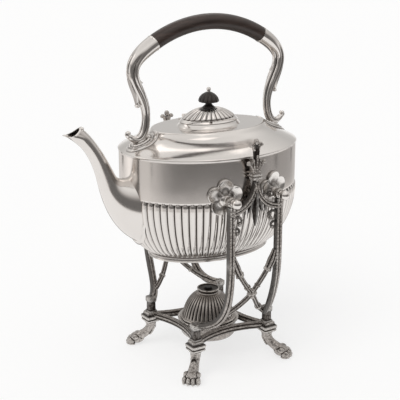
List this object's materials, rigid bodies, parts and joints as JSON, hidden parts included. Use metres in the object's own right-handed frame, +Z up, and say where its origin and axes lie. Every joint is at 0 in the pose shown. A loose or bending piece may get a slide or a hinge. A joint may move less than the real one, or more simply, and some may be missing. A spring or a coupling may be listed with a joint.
{
  "type": "spirit kettle on stand",
  "caption": "Oval tea kettle with a reeded body, swan neck spout, fixed scrolled handle and hinged fluted lid, pinned between the frames of a paw footed stand over a spirit burner.",
  "frame": {"origin": "centre of the outline seen from above, at the height the feet rest on", "axes": "X along the kettle with the spout at the low end, Y across it with the lid hinge on the high side, Z up"},
  "size_m": [0.2694, 0.1998, 0.375],
  "materials": {
    "kettle_silver": "polished silver plate, slightly tarnished",
    "stand_silver": "silver plate, oxidised in the recesses",
    "dark_wood": "dark polished hardwood",
    "cotton": "woven wick"
  },
  "bodies": {
    "stand": {"base_frame": "stand_silver", "burner_dish": "stand_silver", "foot_near_front": "stand_silver", "foot_near_rear": "stand_silver", "foot_far_front": "stand_silver", "foot_far_rear": "stand_silver", "upright_near_front": "stand_silver", "upright_near_rear": "stand_silver", "upright_far_front": "stand_silver", "upright_far_rear": "stand_silver", "side_frame_near": "stand_silver", "side_frame_far": "stand_silver", "cross_brace_near": "stand_silver", "cross_brace_far": "stand_silver"},
    "kettle": {"kettle_drum": "kettle_silver", "kettle_base": "kettle_silver", "kettle_shoulder": "kettle_silver", "filler_bezel": "kettle_silver", "spout": "kettle_silver", "spout_strainer": "kettle_silver", "lug_near_front": "kettle_silver", "lug_near_rear": "kettle_silver", "lug_far_front": "kettle_silver", "lug_far_rear": "kettle_silver", "handle_arm_front": "kettle_silver", "handle_arm_rear": "kettle_silver", "handle_plate_front": "kettle_silver", "handle_plate_rear": "kettle_silver", "handle_grip": "dark_wood", "grip_rivets": "kettle_silver", "hinge_leaf": "kettle_silver", "hinge_pin": "kettle_silver"},
    "lid": {"lid_dome": "kettle_silver", "lid_rim": "kettle_silver", "lid_knuckle": "kettle_silver", "finial_cap": "dark_wood", "finial_screw": "kettle_silver", "finial_nut": "kettle_silver"},
    "pin_near_front": {"pin_near_front": "kettle_silver"},
    "pin_near_rear": {"pin_near_rear": "kettle_silver"},
    "pin_far_front": {"pin_far_front": "kettle_silver"},
    "pin_far_rear": {"pin_far_rear": "kettle_silver"},
    "burner": {"burner_bowl": "stand_silver", "burner_collar": "stand_silver"},
    "wick": {"wick_holder": "stand_silver", "wick": "cotton"}
  },
  "joints": [
    {"name": "kettle_tilt", "type": "hinge", "parent": "stand", "child": "kettle", "pos_m": [0.00425, 0, 0.1995], "axis": [0, -1, 0], "range_deg": [0, 45]},
    {"name": "lid_hinge", "type": "hinge", "parent": "kettle", "child": "lid", "pos_m": [0.03375, 0.029, 0.265], "axis": [-1, 0, 0], "range_deg": [0, 100]},
    {"name": "pin_near_front_pull", "type": "slide", "parent": "stand", "child": "pin_near_front", "axis": [0, -1, 0], "range_m": [0, 0.024]},
    {"name": "pin_near_rear_pull", "type": "slide", "parent": "stand", "child": "pin_near_rear", "axis": [0, -1, 0], "range_m": [0, 0.024]},
    {"name": "pin_far_front_pull", "type": "slide", "parent": "stand", "child": "pin_far_front", "axis": [0, 1, 0], "range_m": [0, 0.024]},
    {"name": "pin_far_rear_pull", "type": "slide", "parent": "stand", "child": "pin_far_rear", "axis": [0, 1, 0], "range_m": [0, 0.024]},
    {"name": "burner_lift", "type": "slide", "parent": "stand", "child": "burner", "axis": [0, 0, 1], "range_m": [0, 0.025]},
    {"name": "wick_lift", "type": "slide", "parent": "burner", "child": "wick", "axis": [0, 0, 1], "range_m": [0, 0.015]}
  ]
}
